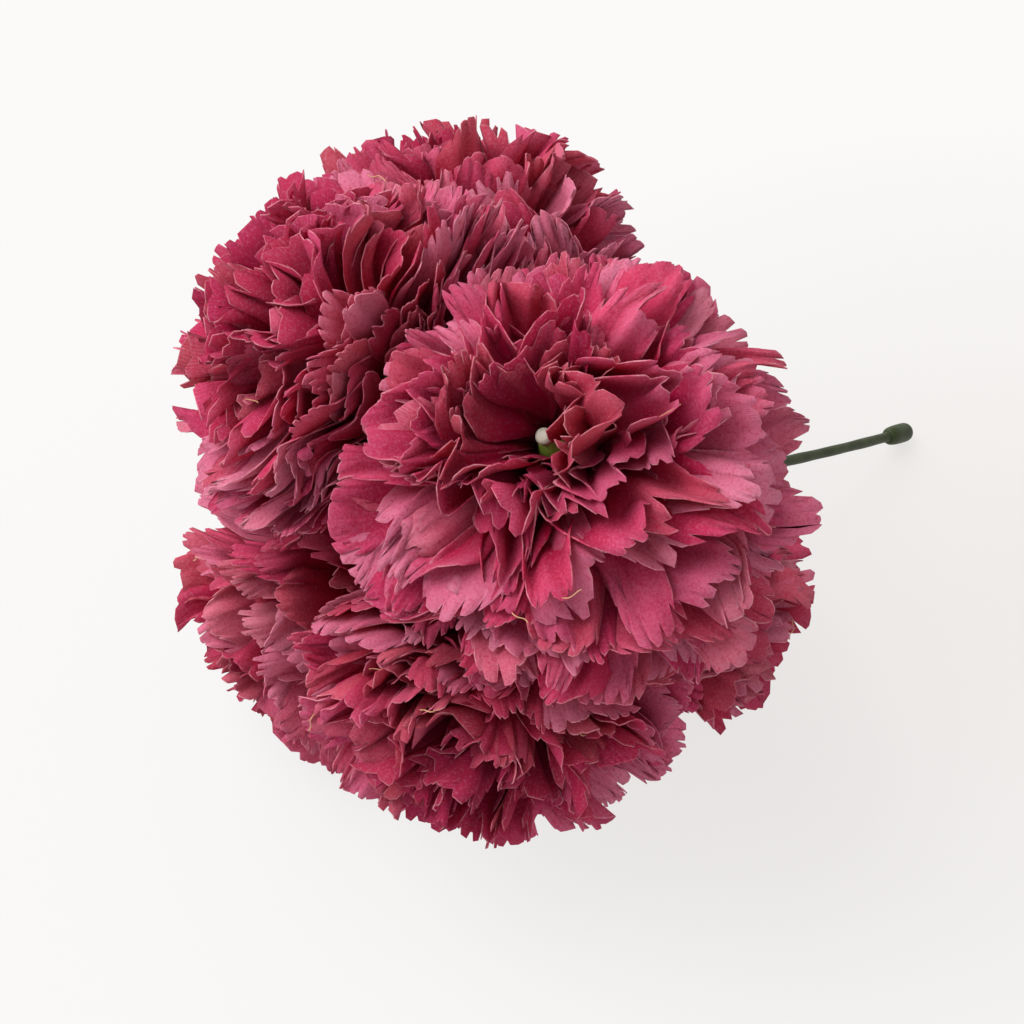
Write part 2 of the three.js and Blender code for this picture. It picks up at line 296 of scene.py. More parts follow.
@dataclass(frozen=True)
class PetalFinish:
    """Dyed cloth: rose on its face, dustier behind, with a pale frayed cut edge."""

    face: Colour = from_srgb(238, 66, 130)
    behind: Colour = from_srgb(228, 82, 120)
    # Painted shade at the petals' roots and on unlit petals, and dark speckle in the grain.
    deep: Colour = from_srgb(186, 0, 46)
    # Painted shade for the inner petals down in the head's hollow.
    hollow_shade: Colour = from_srgb(120, 0, 44)
    # Pale speckle in the grain, and the painted highlight on lit petals and their tips.
    bright: Colour = from_srgb(232, 152, 178)
    cool: Colour = from_srgb(178, 58, 134)
    # A tan tint for the tips of a few petals chosen at random.
    tan_tint: Colour = from_srgb(190, 108, 112)
    edge: Colour = from_srgb(238, 182, 190)
    through: Colour = from_srgb(238, 14, 74)
    roughness: float = 0.8
    sheen: float = 0.04
    sheen_tint: Colour = (1.0, 0.72, 0.84, 1.0)
    gloss: float = 0.02
    glow: float = 0.22
    cool_share: float = 0.5
    highlight_share: float = 0.9
    shade_share: float = 0.9
    hollow_shade_share: float = 0.75
    tan_tint_share: float = 0.35
    edge_share: float = 0.5
    edge_width: float = 0.64
    blotch_scale: float = 120.0
    grain_scale: float = 1900.0
    fray_scales: Span = (1400.0, 260.0)
    edge_scale: float = 210.0
    weave_scale: float = 1.7
    crease_stretch: Place = (0.3, 0.06, 1.0)
    bump_depth: float = 0.0008

    def make(self) -> Material:
        """Builds the cloth.

        Returns:
            The material.
        """
        graph = Graph("petal_cloth")
        cut = graph.node("ShaderNodeUVMap", {"uv_map": "cloth"}, {})
        along = graph.attribute("along")
        grain = graph.noise(self.grain_scale, 2.0)
        body = self.frayed(graph, self.dye_and_painted_light(graph, along))
        body = graph.blend((grain - 0.5).held() * 2.0, body, self.deep)
        body = graph.blend((0.47 - grain).held() * along * 1.1, body, self.bright)
        height = self.weave(graph, cut) * 0.2 + grain * 0.2 + self.creases(graph, cut) * 1.3
        cloth = graph.node("ShaderNodeBsdfPrincipled", {}, {
            "Base Color": body,
            "Roughness": self.roughness,
            "Sheen Weight": self.sheen,
            "Sheen Roughness": 0.4,
            "Sheen Tint": self.sheen_tint,
            "Specular IOR Level": self.gloss,
            "Normal": graph.bump(height, self.bump_depth, 0.7),
        })
        light = graph.node("ShaderNodeBsdfTranslucent", {}, {"Color": self.through})
        mixed = graph.node("ShaderNodeMixShader", {}, {0: self.glow, 1: cloth, 2: light})
        return graph.finish(mixed)

    def dye_and_painted_light(self, graph: Graph, along: Wire) -> Wire:
        """Painted shade at root and in hollow; paler tips and blotches, partly painted highlight.

        Args:
            graph: The cloth's nodes.
            along: The distance along the petal, 0 at the peg and 1 at the tip.

        Returns:
            The colour.
        """
        tone, tint = graph.attribute("tone"), graph.attribute("tint")
        blotch = graph.noise(self.blotch_scale, 3.0)
        body = graph.blend(graph.attribute("face_side"), self.behind, self.face)
        body = graph.blend(tint * self.cool_share, body, self.cool)
        # Painted shade: every petal turns deep red towards its root, down where the head shades
        # it.
        root, tip = ((1.2 - along) * 1.45).held(), (along * 3.2 - 2.35).held()
        body = graph.blend(root, body, self.deep)
        # Paler tips: partly the cloth's own, and on lit petals a painted highlight.
        body = graph.blend(tip * (tone * 0.6 + 0.24), body, self.bright)
        # Painted highlight: petals that get more light, and random blotches, turn pale.
        lit = (tone * 0.5 + blotch * 0.5 - 0.36).held()
        body = graph.blend(lit * self.highlight_share, body, self.bright)
        # Painted shade: petals that get little light, and dark blotches, turn deep red.
        shade_and_blotch = (0.52 - tone * 0.6 - blotch * 0.3).held()
        body = graph.blend(shade_and_blotch * self.shade_share, body, self.deep)
        # Painted shade: the inner petals in the hollow turn wine dark, most towards their roots.
        sunk_shade = graph.attribute("hollow") * (1.35 - along * 0.8).held()
        body = graph.blend(sunk_shade * self.hollow_shade_share, body, self.hollow_shade)
        # A tan tint at the tips of a few petals chosen at random by their tint.
        tan_tips = (3 - tint * 12).held() * (along * 3 - 2).held()
        return graph.blend(tan_tips * self.tan_tint_share, body, self.tan_tint)

    def frayed(self, graph: Graph, body: Wire) -> Wire:
        """The pale fibres along the cut edge, in broken stretches of uneven width.

        Args:
            graph: The cloth's nodes.
            body: The colour so far, with its painted shade and highlights.

        Returns:
            The colour with its edge.
        """
        fine, coarse = (graph.noise(scale, 1.0) for scale in self.fray_scales)
        edge = (1 - graph.attribute("rim") / (fine * coarse * self.edge_width)).held()
        stretches = (graph.noise(self.edge_scale, 2.0) * 4 - 1.6).held()
        return graph.blend(edge * stretches * self.edge_share, body, self.edge)

    def weave(self, graph: Graph, cut: Wire) -> Wire:
        """The crossing threads of the cloth.

        Args:
            graph: The cloth's nodes.
            cut: The place on the flat cut, in millimetres.

        Returns:
            The threads' height.
        """
        inputs = {"Vector": cut, "Scale": self.weave_scale, "Distortion": 0.4, "Detail": 1.0}
        lengthwise, crosswise = (graph.node("ShaderNodeTexWave", {"bands_direction": way}, inputs)
                                 for way in ("X", "Y"))
        return lengthwise * crosswise

    def creases(self, graph: Graph, cut: Wire) -> Wire:
        """The pressed folds that fan out from the narrow end."""
        inputs = {"Vector": cut, "Scale": self.crease_stretch}
        return graph.noise(1.0, 3.0, graph.node("ShaderNodeMapping", {}, inputs))


@dataclass(frozen=True)
class PlasticFinish:
    """Moulded plastic with a little mottling and a fine grain."""

    name: str
    main: Colour
    second: Colour
    roughness: float
    scale: float = 260.0
    shine: float = 0.5

    def make(self) -> Material:
        """Builds the plastic.

        Returns:
            The material.
        """
        graph = Graph(self.name)
        patches = graph.noise(self.scale, 3.0)
        grain = graph.noise(self.scale * 9, 2.0)
        colour = graph.blend((patches * 2.2 - 0.7).held(), self.main, self.second)
        return graph.finish(graph.node("ShaderNodeBsdfPrincipled", {}, {
            "Base Color": colour,
            "Roughness": self.roughness + (patches - 0.5) * 0.2,
            "Specular IOR Level": self.shine,
            "Normal": graph.bump(grain, 0.0003, 0.5),
        }))


@dataclass(frozen=True)
class ThreadFinish:
    """Undyed thread from inside the cloth."""

    main: Colour = from_srgb(206, 170, 120)
    second: Colour = from_srgb(186, 120, 104)

    def make(self) -> Material:
        """Builds the thread.

        Returns:
            The material.
        """
        graph = Graph("loose_thread")
        colour = graph.blend(graph.noise(500.0, 2.0), self.main, self.second)
        return graph.finish(graph.node("ShaderNodeBsdfPrincipled", {}, {
            "Base Color": colour,
            "Roughness": 0.8,
            "Normal": graph.bump(graph.noise(6000.0, 1.0), 0.0001, 0.5),
        }))


@dataclass(frozen=True)
class FloorFinish:
    """A plain pale surface with a light of its own, and a painted shadow round the stem's end."""

    main: Colour = (0.098, 0.096, 0.095, 1.0)
    second: Colour = (0.099, 0.097, 0.096, 1.0)
    glow: Colour = (1.0, 0.99, 0.986, 1.0)
    # The colour of the painted shadow.
    painted_shadow: Colour = (0.9, 0.87, 0.85, 1.0)
    glow_strength: float = 0.79
    painted_shadow_middle: Place = (-0.097, 0.056, 0.0)
    painted_shadow_reach: float = 0.18

    def make(self) -> Material:
        """Builds the surface.

        Returns:
            The material.
        """
        graph = Graph("pale_surface")
        colour = graph.blend(graph.noise(3.0, 2.0), self.main, self.second)
        # Painted shadow: the surface's own light is dimmed in a round patch beside the bunch.
        far = graph.node("ShaderNodeVectorMath", {"operation": "DISTANCE"},
                         {0: graph.where, 1: self.painted_shadow_middle}, "Value")
        glow = graph.blend((1 - far / self.painted_shadow_reach).held(), self.glow, self.painted_shadow)
        return graph.finish(graph.node("ShaderNodeBsdfPrincipled", {}, {
            "Base Color": colour,
            "Roughness": 0.7,
            "Specular IOR Level": 0.06,
            "Emission Color": glow,
            "Emission Strength": self.glow_strength,
        }))


CALYX_PLASTIC = PlasticFinish("calyx_plastic", from_srgb(88, 116, 62), from_srgb(66, 92, 48), 0.55)
PEG_PLASTIC = PlasticFinish("peg_plastic", from_srgb(166, 190, 76), from_srgb(136, 164, 62), 0.45)
STUD_PLASTIC = PlasticFinish("stud_plastic", from_srgb(232, 230, 214), from_srgb(204, 208, 176),
                             0.42)
STEM_PLASTIC = PlasticFinish("stem_plastic", from_srgb(50, 60, 30), from_srgb(34, 42, 20), 0.5,
                             shine=0.2)


def smooth(value: Any, low: float, high: float) -> Any:
    """An eased step from 0 at low to 1 at high."""
    part = np.clip((value - low) / (high - low), 0, 1)
    return part * part * (3 - 2 * part)


def unit(vector: Array) -> Array:
    """The vectors along the last axis made one long."""
    return vector / np.maximum(np.linalg.norm(vector, axis=-1, keepdims=True), 1e-9)


def soft_least(values: Array, power: float) -> Array:
    """A rounded minimum along the first axis, never above the least value."""
    return (np.maximum(values, 0.02) ** -power).sum(axis=0) ** (-1 / power)


def crumpled(points: Array, number: int) -> Array:
    """Pushes points about by a smooth field, so that neighbouring petals crumple together.

    Args:
        points: Points in a head's own directions, in millimetres.
        number: The head's number, which sets its field.

    Returns:
        The moved points.
    """
    far = smooth(np.linalg.norm(points, axis=-1, keepdims=True), *CRUMPLE_FROM_BY)
    moved = points.copy()
    for wave in range(CRUMPLE_WAVES):
        seed = number * 31 + wave + 1.0
        way = unit(Draw.CRUMPLE_WAY.of(seed, np.arange(3)))
        push = unit(Draw.CRUMPLE_PUSH.of(seed, np.arange(3)))
        length = Draw.CRUMPLE_LENGTH.of(seed)
        phase = points @ way * (2 * math.pi / length) + Draw.CRUMPLE_PHASE.of(seed)
        moved += far * push * (CRUMPLE * length * np.sin(phase))[..., None]
    return moved


def tip_distance(radius: Any, opening: Array) -> Array:
    """How far from the base a petal reaches when it opens by an angle."""
    outwards = BASE_DEPTH * np.sin(opening)
    return BASE_DEPTH * np.cos(opening) + np.sqrt(radius ** 2 - outwards ** 2)


def above_floor(height: Array) -> Array:
    """Heights with those near or under the floor lifted softly onto it."""
    return (height + np.sqrt(height ** 2 + FLOOR_EASE)) / 2 + FLOOR_GAP


@dataclass
class Shell:
    """A mesh being gathered from closed forms, with numbers kept for each point."""

    name: str
    kinds: tuple[str, ...] = ("face_side", "rim", "tone", "tint", "along", "hollow")
    points: list[Array] = field(default_factory=list)
    quads: list[Array] = field(default_factory=list)
    looks: list[Array] = field(default_factory=list)
    numbers: dict[str, list[Array]] = field(default_factory=dict)
    flat: list[Array] = field(default_factory=list)
    count: int = 0

    def add(self, points: Array, quads: Array, look: int = 0,
            flat: Union[Array, None] = None, **numbers: Array) -> None:
        """Adds a form.

        Args:
            points: Its points in millimetres.
            quads: Four point numbers a face; the last is repeated in a triangle.
            look: The material's place in the object's list.
            flat: Each point's place on the flat cut, in millimetres.
            numbers: Values kept for each point.
        """
        self.points.append(points)
        self.quads.append(quads + self.count)
        self.looks.append(np.full(len(quads), look))
        self.flat.append(np.zeros((len(points), 2)) if flat is None else flat)
        for kind in self.kinds:
            kept = numbers.get(kind, np.ones(len(points)))
            self.numbers.setdefault(kind, []).append(kept)
        self.count += len(points)

    def build(self, looks: list[Material], slot: Slot, node: str) -> bpy.types.Object:
        """Makes the object, smooth shaded, and lets it stand for its node.

        Args:
            looks: The materials in the order of the forms' look numbers.
            slot: The record's slot; not used.
            node: The node it replaces.

        Returns:
            The new object.
        """
        points = np.concatenate(self.points) * MM
        quads = np.concatenate(self.quads)
        mesh = bpy.data.meshes.new(self.name)
        single = quads[:, 3] == quads[:, 2]
        totals = np.where(single, 3, 4)
        starts = np.concatenate([[0], np.cumsum(totals)[:-1]])
        corners = quads[~(single[:, None] & (np.arange(4) == 3))]
        mesh.vertices.add(len(points))
        mesh.vertices.foreach_set("co", points.astype(np.float32).ravel())
        mesh.loops.add(len(corners))
        mesh.loops.foreach_set("vertex_index", corners.astype(np.int32))
        mesh.polygons.add(len(quads))
        mesh.polygons.foreach_set("loop_start", starts.astype(np.int32))
        mesh.polygons.foreach_set("loop_total", totals.astype(np.int32))
        mesh.polygons.foreach_set("material_index", np.concatenate(self.looks).astype(np.int32))
        mesh.polygons.foreach_set("use_smooth", np.ones(len(quads), dtype=bool))
        mesh.update(calc_edges=True)
        for kind, kept in self.numbers.items():
            layer = mesh.attributes.new(kind, "FLOAT", "POINT")
            layer.data.foreach_set("value", np.concatenate(kept).astype(np.float32))
        cut = mesh.uv_layers.new(name="cloth")
        cut.data.foreach_set("uv", np.concatenate(self.flat)[corners].astype(np.float32).ravel())
        made = bpy.data.objects.new(self.name, mesh)
        bpy.context.scene.collection.objects.link(made)
        for look in looks:
            mesh.materials.append(look)
        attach(made, BODY)
        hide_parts(node)
        LOG.info("%s: %d faces", made.name, len(quads))
        return made


def ring_faces(rings: int, segments: int) -> Array:
    """The faces over a row of rings, closed by one point at each end.

    Args:
        rings: How many rings there are.
        segments: How many points a ring has.

    Returns:
        Four point numbers a face, counted from the first end through the rings to the last.
    """
    place = np.arange(segments)
    after = (place + 1) % segments
    quads = [np.stack([place * 0, 1 + after, 1 + place, 1 + place], axis=1)]
    top = 1 + (rings - 1) * segments
    for low in range(1, top, segments):
        high = low + segments
        quads.append(np.stack([low + place, low + after, high + after, high + place], axis=1))
    last = np.full(segments, top + segments)
    quads.append(np.stack([top + place, top + after, last, last], axis=1))
    return np.concatenate(quads)


def turned(profile: Array, segments: int) -> tuple[Array, Array]:
    """A closed turned form about Z.

    Args:
        profile: Radius and height pairs, the first and last on the axis.
        segments: How many steps round.

    Returns:
        Its points and faces.
    """
    angles = np.arange(segments) * 2 * math.pi / segments
    rings = profile[1:-1]
    around = np.stack([np.cos(angles), np.sin(angles)], axis=1)
    body = np.concatenate([
        rings[:, None, :1] * around[None],
        np.broadcast_to(rings[:, None, 1:], (len(rings), segments, 1)),
    ], axis=2).reshape(-1, 3)
    points = np.concatenate([[[0, 0, profile[0][1]]], body, [[0, 0, profile[-1][1]]]])
    return points, ring_faces(len(rings), segments)


def tube(path: Array, radii: Array, segments: int) -> tuple[Array, Array]:
    """A closed round form along a path.

    Args:
        path: The points of its middle line.
        radii: Its radius at each of them.
        segments: How many steps round.

    Returns:
        Its points and faces.
    """
    ways = unit(np.gradient(path, axis=0))
    side = unit(np.cross(ways, [0.13, 0.21, 1.0]))
    over = np.cross(ways, side)
    angles = np.arange(segments) * 2 * math.pi / segments
    cosines, sines = np.cos(angles)[None, :, None], np.sin(angles)[None, :, None]
    around = cosines * side[:, None] + sines * over[:, None]
    rings = path[:, None] + radii[:, None, None] * around
    points = np.concatenate([path[:1], rings.reshape(-1, 3), path[-1:]])
    return points, ring_faces(len(path), segments)


def curved(start: Array, lead: Array, end: Array, steps: int) -> Array:
    """The points of a curve from start to end, drawn towards lead."""
    part = np.linspace(0, 1, steps)[:, None]
    return (1 - part) ** 2 * start + 2 * part * (1 - part) * lead + part ** 2 * end


@dataclass
class Head:
    """Where a head sits and which way it faces.

    swell is how far its petals reach past or short of round, towards that side, in millimetres,
    and parted is the side on which its innermost petals give way, to show the stud.
    """

    name: str
    centre: Place
    facing: Place
    radius: float
    swell: Place = (0.0, 0.0, 0.0)
    parted: Place = (0.0, 0.0, 0.0)
    seen: bool = True

    def __post_init__(self) -> None:
        """Works out the head's own directions."""
        self.middle = np.array(self.centre)
        self.axis = unit(np.array(self.facing))
        self.base = self.middle - BASE_DEPTH * self.axis
        self.across = unit(np.cross([0.0, 0.0, 1.0], self.axis))
        self.along = np.cross(self.axis, self.across)
        self.ways = np.stack([self.across, self.along, self.axis])

    def placed(self, points: Array) -> Array:
        """Points given in the head's own directions, put in the bunch."""
        return self.base + points @ self.ways

    def inward(self, way: Any) -> Array:
        """A direction in the bunch, given in the head's own directions."""
        return self.ways @ way


HEADS = (
    Head("front", (52.8, 33.1, 106.8), (0.492, 0.165, 0.855), 41.6,
         swell=(-0.9, 2.5, -6.3), parted=(0.04, 0.98, -0.21)),
    Head("upper", (57.6, -15.4, 100.4), (0.55, -0.5, 0.67), 38.2, swell=(0.6, -0.1, -0.8)),
    Head("top", (18, -35.8, 80.8), (-0.2, -0.75, 0.6), 38.5, swell=(1.8, -3.3, 1.4)),
    Head("left", (56.5, -21.7, 34.3), (0.7, -0.5, -0.5), 39.1, swell=(0.5, -2.6, 1.9)),
    Head("low", (58.4, 25.7, 57.3), (0.8, 0.56, -0.2), 38.4, swell=(4.2, -2.6, -0.8)),
    Head("back", (9.6, -39.9, 31.6), (-0.34, -0.76, -0.55), 39, seen=False),
    Head("under", (17, 9.7, 34.4), (-0.41, 0.13, -0.9), 37.8, swell=(-3.0, 0.9, 1.2), seen=False),
)


@dataclass
class Limits:
    """The flat limits that keep one head clear of its neighbours, the surface and the wire."""

    head: Head
    wire_clear: float = 1.0
    normals: Array = field(init=False)
    distances: Array = field(init=False)

    def __post_init__(self) -> None:
        """Measures every limit from the head's base."""
        head = self.head
        normals, distances = [], []
        for other in HEADS:
            if other is head:
                continue
            way = other.middle - head.middle
            distance = np.linalg.norm(way)
            way = way / distance
            share = distance / 2 + (head.radius ** 2 - other.radius ** 2) / (2 * distance)
            normals.append(way)
            distances.append(share - (head.base - head.middle) @ way - CELL_MARGIN)
        normals.append(np.array([0.0, 0.0, -1.0]))
        distances.append(head.base[2] + PRESS)
        wire = unit(np.array(STEM_END) - np.array(HUB))
        from_hub = head.base - np.array(HUB)
        along = from_hub @ wire
        if along > -0.6 * head.radius:
            sideways = wire * along - from_hub
            room = np.linalg.norm(sideways)
            normals.append(sideways / room)
            distances.append(room - WIRE_RADIUS - CELL_MARGIN - self.wire_clear)
        self.normals = np.array(normals)
        self.distances = np.array(distances)

    def settle(self, points: Array) -> Array:
        """Squeezes free petal points towards the axis wherever a limit is near.

        Args:
            points: Points in the head's own directions.

        Returns:
            The same points in the bunch.
        """
        head = self.head
        free = np.maximum(np.linalg.norm(points, axis=-1), 1e-6)
        opening = np.arccos(np.clip(points[..., 2] / free, -1, 1))
        turn = np.arctan2(points[..., 1], points[..., 0])
        tip = tip_distance(head.radius, opening)
        pressed = self.squeezed(opening, turn, tip)
        distance = free * (tip_distance(head.radius, pressed) / tip) ** FILL
        distance = distance * (1 - TUCK * smooth(opening - pressed, *TUCK_FROM_BY))
        settled = self.squeezed(opening, turn, distance)
        outwards = distance * np.sin(settled)
        placed = head.placed(np.stack([outwards * np.cos(turn), outwards * np.sin(turn),
                                       distance * np.cos(settled)], axis=-1))
        heart = head.middle + np.array(head.swell)
        far = np.linalg.norm(placed - heart, axis=-1, keepdims=True)
        past = np.maximum(far - STRAY * head.radius, 0)
        return heart + (placed - heart) * (1 - STRAY_HELD * past / np.maximum(far, 1e-6))

    def squeezed(self, opening: Array, turn: Array, distance: Array) -> Array:
        """Squeezes openings by every limit at once.

        Args:
            opening: The openings that the petals would have alone.
            turn: Where they stand round the base.
            distance: How far from the base they are.

        Returns:
            The openings that are left.
        """
        allowed = np.array([self.opening(normal, limit, turn, distance)
                            for normal, limit in zip(self.normals, self.distances)])
        nearest = soft_least(allowed, LIMIT_POWER)
        eased = nearest * (1 + FREE_GAIN * smooth(nearest, *FREE_FROM_BY))
        return soft_least(np.stack([opening, eased]), SQUEEZE_POWER)

    def opening(self, normal: Array, limit: float, turn: Array, distance: Array) -> Array:
        """The widest opening that one limit allows.

        Args:
            normal: The way the limit faces.
            limit: How far it is from the base.
            turn: Where the petals stand round the base.
            distance: How far from the base they are.

        Returns:
            An opening for each turn and distance.
        """
        right, up, ahead = self.head.inward(normal)
        sideways = right * np.cos(turn) + up * np.sin(turn)
        size = np.hypot(ahead, sideways)
        reach = limit / np.maximum(distance * size, 1e-6)
        lean = np.arctan2(sideways, ahead) % (2 * math.pi)
        inside = lean - np.arccos(np.clip(reach, -1, 1))
        return np.where(reach < 1, inside, lean + 2.5 * (reach - 1))


@dataclass
class Bloom:
    """One head of cloth petals on its peg, set out in a spiral from the middle.

    Names in from_by are where an eased step begins and ends, in radians of opening.
    """

    head: Head
    number: int
    petals: int = 262
    turn_step: float = 2.39996
    first: float = 4.0
    lowest: float = 1.64
    drop_from: float = 0.62
    rows: tuple[float, ...] = (0, 0.34, 0.6, 0.78, 0.9, 1)
    columns: int = 24
    few_columns: int = 12
    wide_toothed: float = 0.7
    cloth: float = 0.22
    cut_length: float = 38.0
    half_width: float = 7.9
    narrower_outside: float = 1.1
    root_width: float = 0.1
    corner: float = 0.13
    corner_round: float = 0.06
    notch: float = 0.024
    notch_more: float = 0.046
    notch_shape: float = 0.26
    outer_from_by: Span = (0.4, 0.9)
    seat: float = 21.0
    seat_drop: float = 9.9
    seat_rise: float = 2.6
    give_way_from_by: Span = (0.22, 0.43)
    give_way: float = 0.36
    curl_back: float = 44.0
    cup: float = 4.2
    cup_less_outside: float = 2.2
    ruffle: float = 2.6
    fine_share: float = 0.75
    rim_ripple: float = 0.35
    # lit_from_by and crowded_from_by dim the painted light of inner and crowded petals;
    # hollow_from_by marks the inner petals that get painted shade.
    lit_from_by: Span = (0.3, 0.85)
    hollow_from_by: Span = (0.3, 0.66)
    crowded_from_by: Span = (0.1, 0.5)
    threads: int = 4
    thread_radius: float = 0.11
    threads_above: float = 60.0

    def build(self, looks: list[Material]) -> bpy.types.Object:
        """Makes the head.

        Args:
            looks: The materials of the cloth, the peg and the loose threads.

        Returns:
            The head.
        """
        shell = Shell(f"petals_{self.head.name}")
        self.add_petals(shell, Limits(self.head))
        profile = np.array([[0, 0], [1, 0], [1, 0.85], [0.6, 1], [0, 1]]) \
            * [PEG_RADIUS * 0.55, PEG_HEIGHT] + [0, PEG_BOTTOM]
        points, quads = turned(profile, 20)
        shell.add(self.head.placed(points), quads, Look.PEG)
        return shell.build(looks, Slot.PETAL, f"bloom_{self.head.name}")

    def add_petals(self, shell: Shell, limits: Limits) -> None:
        """Adds every petal that its neighbours leave room for, and a few loose threads.

        Args:
            shell: The mesh being gathered.
            limits: What the head stays clear of.
        """
        seeds, openings, turns, pressed = self.spiral(limits)
        seed, opening, turn = (values[:, None, None] for values in (seeds, openings, turns))
        columns = self.columns if self.head.seen else self.few_columns
        teeth = np.where(Draw.TEETH.of(seed) < self.wide_toothed, columns / 4, columns / 3)
        tooth = np.linspace(0, 1, columns + 1)[None, None, :] * teeth
        across = (tooth - 0.075 * np.sin(2 * math.pi * tooth)) / teeth * 2 - 1
        along = self.cut_edge(seed, across, tooth)
        free, width = self.free_points(seed, opening, turn, along, across)
        middle = limits.settle(crumpled(free, self.number))
        middle[..., 2] = above_floor(middle[..., 2])
        normal = unit(np.cross(np.gradient(middle, axis=1), np.gradient(middle, axis=2)))
        length = np.linalg.norm(middle[:, -1:] - middle, axis=-1)
        rim = np.minimum(length, (1 - np.abs(across)) * width + 0.02)
        count = len(self.rows) * (columns + 1)
        quads = self.blade_faces(len(self.rows), columns + 1)
        cut = np.stack([across * width + 0 * along, along * self.cut_length + 0 * width], axis=-1)
        # Painted light: each petal's tone is a random draw times this light, dim for the inner
        # petals and for those crowded by a neighbour.
        light = (0.1 + 0.9 * smooth(openings, *self.lit_from_by)) \
            * (1 - 0.6 * smooth(pressed, *self.crowded_from_by))
        # Which petals sit in the hollow, for its painted shade.
        hollow = 1 - smooth(openings, *self.hollow_from_by)
        for petal, own in enumerate(seeds.tolist()):
            half = normal[petal] * self.cloth / 2
            points = np.concatenate([(middle[petal] + half).reshape(-1, 3),
                                     (middle[petal] - half).reshape(-1, 3)])
            shell.add(points, quads, Look.CLOTH,
                      flat=np.tile(cut[petal].reshape(-1, 2), (2, 1)),
                      face_side=np.repeat([1.0, 0.0], count),
                      rim=np.tile(rim[petal].reshape(-1), 2),
                      tone=np.full(2 * count, Draw.TONE.of(own) * light[petal]),
                      tint=np.full(2 * count, Draw.TINT.of(own)),
                      along=np.tile(along[petal].reshape(-1), 2),
                      hollow=np.full(2 * count, hollow[petal]))
        near_floor = np.maximum(self.threads_above - middle[:, -1, columns // 2, 2], 0)
        loose = np.argsort(Draw.FRAYED.of(seeds) + 2 * (openings - 0.7) ** 2 + 0.02 * near_floor)
        for petal in loose[:self.threads]:
            self.add_thread(shell, middle[petal], seeds[petal])

    def spiral(self, limits: Limits) -> tuple[Array, ...]:
        """Sets the petals out round the peg, less those that are pressed in too far.

        Args:
            limits: What the head stays clear of.

        Returns:
            Each petal's number, its opening, where it stands round the peg, and how far the
            limits press it in.
        """
        place = np.arange(self.petals)
        seed = self.number * 211 + place + 1.0
        ball = np.arccos(1 - self.lowest * (place + self.first) / self.petals)
        opening = np.arctan2(self.head.radius * np.sin(ball),
                             self.head.radius * np.cos(ball) + BASE_DEPTH)
        turn = place * self.turn_step + Draw.TURN.of(seed) + self.number * 1.7
        turn = (turn + math.pi) % (2 * math.pi) - math.pi
        tip = tip_distance(self.head.radius, opening)
        pressed = opening - limits.squeezed(opening, turn, tip)
        kept = pressed < self.drop_from
        return seed[kept], opening[kept], turn[kept], pressed[kept]

    def add_thread(self, shell: Shell, petal: Array, seed: float) -> None:
        """Adds one loose thread that has frayed from a petal's cut edge.

        Args:
            shell: The mesh being gathered.
            petal: The petal's rows of points.
            seed: The petal's number.
        """
        start = int(4 + (petal.shape[1] - 9) * Draw.THREAD_PLACE.of(seed))
        root = petal[-1, start]
        out = unit(root - self.head.base)
        side = unit(petal[-1, start + 3] - petal[-1, start - 3])
        over = np.cross(out, side)
        part = np.linspace(0, 1, 14)[:, None]
        path = root - out * 0.6 + Draw.THREAD_REACH.of(seed) * part * (0.75 * side + 0.35 * out) \
            + Draw.THREAD_BOW.of(seed) * part ** 2 * over + 0.9 * np.sin(part * 5.5) * out * part
        path[:, 2] = above_floor(path[:, 2])
        points, quads = tube(path, np.full(len(path), self.thread_radius), 6)
        shell.add(points, quads, Look.THREAD)

    def cut_edge(self, seed: Array, across: Array, tooth: Array) -> Array:
        """How far along the petal each point lies, with the toothed far edge.

        Args:
            seed: A number for each petal.
            across: The columns of points, from -1 to 1.
            tooth: The same columns counted in teeth from one side.

        Returns:
            The distance along, 0 at the peg and 1 at the longest tooth.
        """
        row = np.array(self.rows)[None, :, None]
        notch = np.abs(np.sin(math.pi * tooth)) ** self.notch_shape
        deep = Draw.NOTCH.of(np.round(tooth) + seed * 7.3) ** 1.4
        corner = 1 - self.corner * across ** 2 \
            - self.corner_round * smooth(np.abs(across), 0.75, 1.0)
        uneven = Draw.TOOTH.of(np.floor(tooth) + seed * 3.1)
        edge = corner + uneven * notch - (self.notch + self.notch_more * deep) * (1 - notch)
        return row * (corner + (edge - corner) * smooth(row, 0.7, 1.0))

